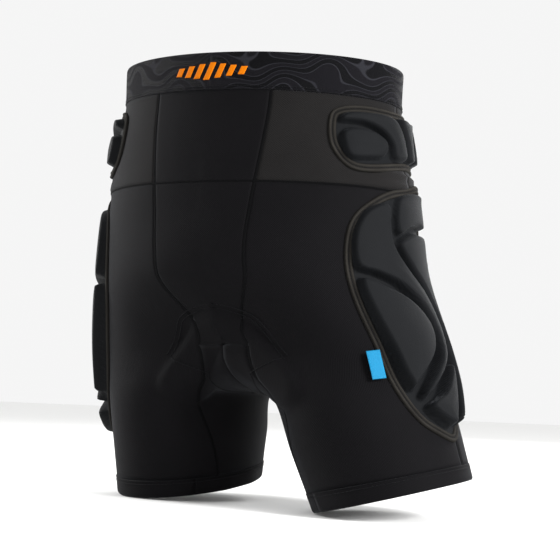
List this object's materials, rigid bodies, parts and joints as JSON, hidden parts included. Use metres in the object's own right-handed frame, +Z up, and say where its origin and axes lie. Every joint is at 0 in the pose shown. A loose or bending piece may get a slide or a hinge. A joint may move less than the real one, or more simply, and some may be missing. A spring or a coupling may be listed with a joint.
{
  "type": "padded impact shorts",
  "caption": "Close-fitting stretch shorts with an elastic waistband and sewn-on segmented foam pads that guard the hips, thighs, seat and tailbone in a fall.",
  "frame": {"origin": "centre of the waist opening, level with its top edge; a wearer's waist or a hanger holds the shorts there", "axes": "+Z up out of the waist opening, -Y out of the front, +X to the wearer's left"},
  "size_m": [0.4292, 0.2565, 0.4489],
  "materials": {
    "shell_knit": "matt black stretch knit",
    "waistband_elastic": "charcoal and black jacquard elastic",
    "pad_cover": "blue-black brushed cover over moulded foam",
    "pad_backing": "black backing cloth with an olive-brown sewn edge",
    "liner_fleece": "black brushed microfibre",
    "tag_ribbon": "cyan woven ribbon"
  },
  "bodies": {
    "shorts": {"waistband": "waistband_elastic", "front_centre_panel": "shell_knit", "back_centre_panel": "shell_knit", "front_yoke_left": "shell_knit", "front_leg_left": "shell_knit", "back_yoke_left": "shell_knit", "back_leg_left": "shell_knit", "inner_leg_left": "shell_knit", "hem_left": "shell_knit", "front_yoke_right": "shell_knit", "front_leg_right": "shell_knit", "back_yoke_right": "shell_knit", "back_leg_right": "shell_knit", "inner_leg_right": "shell_knit", "hem_right": "shell_knit", "seat_liner_pad": "liner_fleece", "hip_pad_left_carrier": "pad_backing", "hip_pad_left_front_low": "pad_cover", "hip_pad_left_front_arch": "pad_cover", "hip_pad_left_middle": "pad_cover", "hip_pad_left_rear_arch": "pad_cover", "hip_pad_left_rear_low": "pad_cover", "thigh_pad_left_carrier": "pad_backing", "thigh_pad_left_front_sweep": "pad_cover", "thigh_pad_left_front_low": "pad_cover", "thigh_pad_left_rear_top": "pad_cover", "thigh_pad_left_rear_long": "pad_cover", "thigh_pad_left_low": "pad_cover", "seat_pad_left_carrier": "pad_backing", "seat_pad_left_top": "pad_cover", "seat_pad_left_outer": "pad_cover", "seat_pad_left_strip": "pad_cover", "seat_pad_left_lens": "pad_cover", "hip_pad_right_carrier": "pad_backing", "hip_pad_right_front_low": "pad_cover", "hip_pad_right_front_arch": "pad_cover", "hip_pad_right_middle": "pad_cover", "hip_pad_right_rear_arch": "pad_cover", "hip_pad_right_rear_low": "pad_cover", "thigh_pad_right_carrier": "pad_backing", "thigh_pad_right_front_sweep": "pad_cover", "thigh_pad_right_front_low": "pad_cover", "thigh_pad_right_rear_top": "pad_cover", "thigh_pad_right_rear_long": "pad_cover", "thigh_pad_right_low": "pad_cover", "seat_pad_right_carrier": "pad_backing", "seat_pad_right_top": "pad_cover", "seat_pad_right_outer": "pad_cover", "seat_pad_right_strip": "pad_cover", "seat_pad_right_lens": "pad_cover", "tailbone_pad_carrier": "pad_backing", "tailbone_pad_middle": "pad_cover", "tailbone_pad_strip_left": "pad_cover", "tailbone_pad_strip_right": "pad_cover", "tailbone_pad_lens_left": "pad_cover", "tailbone_pad_lens_right": "pad_cover"},
    "tag": {"side_tag": "tag_ribbon"}
  },
  "joints": [
    {"name": "tag_hinge", "type": "hinge", "parent": "shorts", "child": "tag", "pos_m": [0.18362, -0.07798, -0.30108], "axis": [-0.3632, 0.2081, 0.9082], "range_deg": [0, 90], "stiffness_Nm_per_rad": 0.0004}
  ]
}
